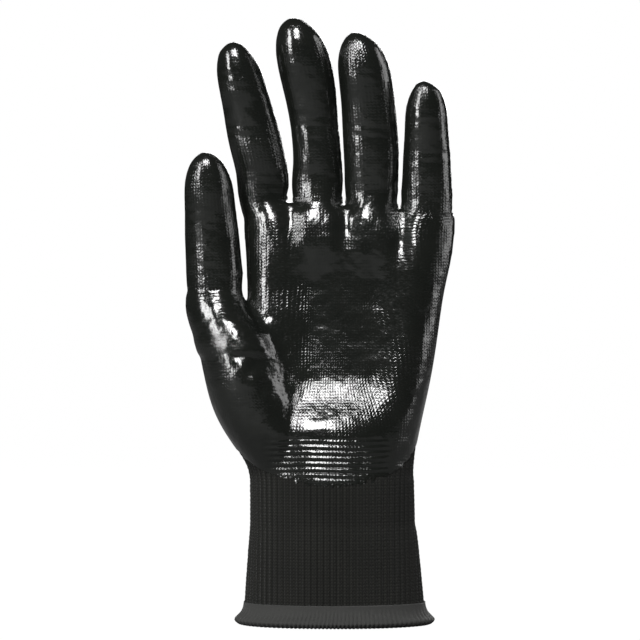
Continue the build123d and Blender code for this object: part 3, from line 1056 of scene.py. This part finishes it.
def nitrile_material(dark, light):
    """Smooth black rubber with soft dents, and the knit below it showing through in patches."""
    nodes = Nodes("nitrile")
    knit, height = stitches(nodes)
    body = nodes.body()
    wrinkle = nodes.noise(nodes.stretched(body, (70.0, 70.0, 200.0)), 1.0, 4.0)
    soft = nodes.noise(body, 90.0, 2.0)
    fine = nodes.noise(body, 260.0, 2.0)
    speckle = nodes.noise(knit, 1.7, 2.0)
    patch = nodes.ramp(nodes.noise(body, 60.0, 1.0), 0.25, 1.0, 0.4, 0.65)
    grain = nodes.math("MULTIPLY", height, patch)
    grain = nodes.math("MULTIPLY", grain, nodes.ramp(speckle, 0.5, 1.4, 0.35, 0.65))
    nodes.link(nodes.blend(soft, dark, light), nodes.shader.inputs["Base Color"])
    nodes.link(nodes.ramp(speckle, 0.09, 0.21, 0.3, 0.7), nodes.shader.inputs["Roughness"])
    nodes.shader.inputs["Specular IOR Level"].default_value = 0.5
    dents = ((soft, 1.4 * MM, 0.6), (fine, 0.3 * MM, 0.6))
    nodes.bumped(*dents, (wrinkle, 0.15 * MM, 0.5), (grain, 0.09 * MM, 0.8))
    return nodes.material


def thread_material(dark, light):
    nodes = Nodes("hem_thread")
    along = nodes.add("ShaderNodeAttribute", attribute_name="knit").outputs["Vector"]
    strand = nodes.noise(nodes.stretched(along, (9.0, 1.5, 1.0)), 2.0, 4.0)
    nodes.link(nodes.blend(strand, dark, light), nodes.shader.inputs["Base Color"])
    nodes.shader.inputs["Roughness"].default_value = 0.82
    nodes.shader.inputs["Sheen Weight"].default_value = 0.04
    nodes.bumped((strand, 0.25 * MM, 0.8))
    return nodes.material


def elastic_material(dark, light):
    nodes = Nodes("elastic")
    wrap = nodes.noise(nodes.stretched(nodes.body(), (900.0, 900.0, 2500.0)), 1.0, 2.0)
    nodes.link(nodes.blend(wrap, dark, light), nodes.shader.inputs["Base Color"])
    nodes.shader.inputs["Roughness"].default_value = 0.7
    nodes.bumped((wrap, 0.2 * MM, 0.7))
    return nodes.material


# Every black here is a dark and a light colour that a noise mixes; in the knit the stitches' height mixes
# them too, as painted shade in the gaps between the loops
KNIT_BLACKS = (0.003, 0.0032, 0.0028), (0.024, 0.025, 0.0225)
# The cuff's blacks are darker than the hand's knit; part of that darkness is painted shade, standing in for
# the side light that the cuff does not get
CUFF_SHADED_BLACKS = (0.0012, 0.0013, 0.0010), (0.0105, 0.0108, 0.0088)
NITRILE_BLACKS = (0.003, 0.0036, 0.003), (0.006, 0.0066, 0.0056)
THREAD_BLACKS = (0.0026, 0.0027, 0.0024), (0.0155, 0.0158, 0.0136)
ELASTIC_GREYS = (0.018, 0.018, 0.017), (0.045, 0.045, 0.042)
MATERIALS = {
    "knit": knit_material("knit", *KNIT_BLACKS, 0.4 * MM, 0.8),
    "cuff_knit": knit_material("cuff_knit", *CUFF_SHADED_BLACKS, 0.3 * MM, 0.84),
    "nitrile": nitrile_material(*NITRILE_BLACKS),
    "hem_thread": thread_material(*THREAD_BLACKS),
    "elastic": elastic_material(*ELASTIC_GREYS),
}


# ---------------------------------------------------------------- floor, light and camera


FLOOR_GREY = 0.12  # the floor that the glove reflects
FLOOR_WHITE = 0.96  # how much of the floor that the camera sees is plain white
FLOOR_GLOW = 1.04
FLOOR_REACH = 40.0
AMBIENT = 0.05


def plain(name, grey):
    """A surface that shows as white to the camera but keeps a little of the object's shadow."""
    nodes = Nodes(name)
    nodes.shader.inputs["Base Color"].default_value = (grey, grey, grey, 1)
    nodes.shader.inputs["Roughness"].default_value = 0.9
    glow = nodes.add("ShaderNodeEmission")
    glow.inputs["Color"].default_value = (1, 1, 1, 1)
    glow.inputs["Strength"].default_value = FLOOR_GLOW
    mix = nodes.add("ShaderNodeMixShader")
    rays = nodes.add("ShaderNodeLightPath")
    nodes.link(nodes.math("MULTIPLY", rays.outputs["Is Camera Ray"], FLOOR_WHITE), mix.inputs["Fac"])
    nodes.link(nodes.shader.outputs["BSDF"], mix.inputs[1])
    nodes.link(glow.outputs["Emission"], mix.inputs[2])
    nodes.link(mix.outputs["Shader"], nodes.tree.nodes["Material Output"].inputs["Surface"])
    return nodes.material


def build_floor():
    mesh = bpy.data.meshes.new("floor")
    corners = [(x * FLOOR_REACH, y * FLOOR_REACH, 0) for x, y in ((-1, -1), (1, -1), (1, 1), (-1, 1))]
    mesh.from_pydata(corners, [], [(0, 1, 2, 3)])
    mesh.materials.append(plain("floor", FLOOR_GREY))
    floor = bpy.data.objects.new("floor", mesh)
    bpy.context.scene.collection.objects.link(floor)


def build_world():
    world = bpy.data.worlds.new("world")
    bpy.context.scene.world = world
    world.use_nodes = True
    tree = world.node_tree
    background = tree.nodes["Background"]
    rays = tree.nodes.new("ShaderNodeLightPath")
    mix = tree.nodes.new("ShaderNodeMix")
    mix.data_type = "RGBA"
    mix.inputs["A"].default_value = (AMBIENT, AMBIENT, AMBIENT, 1)
    mix.inputs["B"].default_value = (1, 1, 1, 1)
    tree.links.new(rays.outputs["Is Camera Ray"], mix.inputs["Factor"])
    tree.links.new(mix.outputs["Result"], background.inputs["Color"])


MIDDLE = Vector((-4.55 * MM, 0, 125.6 * MM))  # the point that the camera looks at
VIEW_DISTANCE = 1.5
VIEW_WIDTH = 264.46 * MM  # how much the picture spans there
SENSOR = 36  # millimetres
# Lamps: azimuth (0 is in front, and it grows to the right) and elevation in degrees, distance and
# size in metres, and watts
LAMPS = {
    "key": (-8, 36, 1.3, (0.36, 0.50), 24),
    "left": (-48, 16, 1.2, (0.24, 0.8), 15),
    "right": (88, 10, 1.2, (0.5, 1.2), 8),
    "behind": (165, 25, 1.4, (0.9, 0.9), 22),
}


def build_lamp(name, azimuth, elevation, distance, size, power):
    """A soft rectangular lamp that faces the glove."""
    light = bpy.data.lights.new(name, "AREA")
    light.shape = "RECTANGLE"
    light.size, light.size_y = size
    light.energy = power
    item = bpy.data.objects.new(name, light)
    across, up = radians(azimuth), radians(elevation)
    way = Vector((sin(across) * cos(up), -cos(across) * cos(up), sin(up)))
    item.location = MIDDLE + way * distance
    item.rotation_euler = way.to_track_quat("Z", "Y").to_euler()
    bpy.context.scene.collection.objects.link(item)


def build_camera():
    data = bpy.data.cameras.new("camera")
    data.sensor_width = SENSOR
    data.lens = SENSOR * VIEW_DISTANCE / VIEW_WIDTH
    camera = bpy.data.objects.new("camera", data)
    camera.location = MIDDLE - Vector((0, VIEW_DISTANCE, 0))
    camera.rotation_euler = (pi / 2, 0, 0)
    bpy.context.scene.collection.objects.link(camera)
    bpy.context.scene.camera = camera


build_glove()
build_hem()
elastic = NODES["cuff_elastic"]
elastic.data.materials.clear()
elastic.data.materials.append(MATERIALS["elastic"])
build_floor()
build_world()
for name, settings in LAMPS.items():
    build_lamp(name, *settings)
build_camera()
bpy.context.scene.view_settings.view_transform = "Standard"
